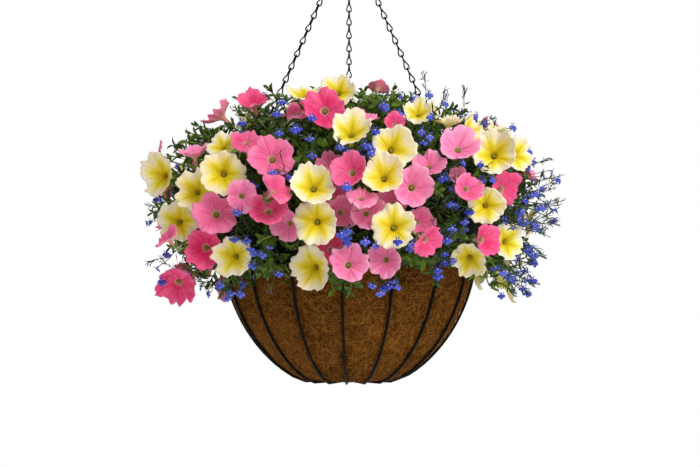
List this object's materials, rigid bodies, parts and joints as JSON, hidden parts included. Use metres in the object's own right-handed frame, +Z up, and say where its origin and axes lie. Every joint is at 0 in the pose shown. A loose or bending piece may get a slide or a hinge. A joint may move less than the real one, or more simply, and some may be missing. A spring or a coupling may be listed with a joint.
{
  "type": "petunia hanging basket",
  "caption": "Wire hanging basket with a coir liner, filled with soil and overflowing with yellow and pink petunias and blue lobelia, hung on chains from a hook.",
  "frame": {"origin": "the point at the inside top of the hook's crook, where the hook bears on its bracket", "axes": "+Z up, -Y towards the front of the basket, +X to its right"},
  "size_m": [0.5631, 0.575, 0.7131],
  "materials": {
    "coated_wire": "satin",
    "coir": "matt fibre",
    "soil": "matt crumbly",
    "foliage": "soft leaf",
    "yellow_petals": "soft petal",
    "pink_petals": "soft petal",
    "blue_petals": "soft petal"
  },
  "bodies": {
    "root": {"hanger_hook": "coated_wire", "chain_left": "coated_wire", "chain_right": "coated_wire", "chain_back": "coated_wire", "wire_basket": "coated_wire", "coir_liner": "coir", "potting_soil": "soil", "foliage": "foliage", "blue_lobelia_01": "blue_petals", "blue_lobelia_02": "blue_petals", "blue_lobelia_03": "blue_petals", "blue_lobelia_04": "blue_petals", "blue_lobelia_05": "blue_petals", "blue_lobelia_06": "blue_petals", "blue_lobelia_07": "blue_petals", "blue_lobelia_08": "blue_petals", "blue_lobelia_09": "blue_petals", "blue_lobelia_10": "blue_petals", "pink_petunia_01": "pink_petals", "pink_petunia_02": "pink_petals", "pink_petunia_03": "pink_petals", "pink_petunia_04": "pink_petals", "pink_petunia_05": "pink_petals", "pink_petunia_06": "pink_petals", "pink_petunia_07": "pink_petals", "pink_petunia_08": "pink_petals", "pink_petunia_09": "pink_petals", "pink_petunia_10": "pink_petals", "pink_petunia_11": "pink_petals", "pink_petunia_12": "pink_petals", "pink_petunia_13": "pink_petals", "pink_petunia_14": "pink_petals", "pink_petunia_15": "pink_petals", "pink_petunia_16": "pink_petals", "pink_petunia_17": "pink_petals", "yellow_petunia_01": "yellow_petals", "yellow_petunia_02": "yellow_petals", "yellow_petunia_03": "yellow_petals", "yellow_petunia_04": "yellow_petals", "yellow_petunia_05": "yellow_petals", "yellow_petunia_06": "yellow_petals", "yellow_petunia_07": "yellow_petals", "yellow_petunia_08": "yellow_petals", "yellow_petunia_09": "yellow_petals", "yellow_petunia_10": "yellow_petals", "yellow_petunia_11": "yellow_petals", "yellow_petunia_12": "yellow_petals", "yellow_petunia_13": "yellow_petals", "yellow_petunia_14": "yellow_petals"}
  },
  "joints": []
}
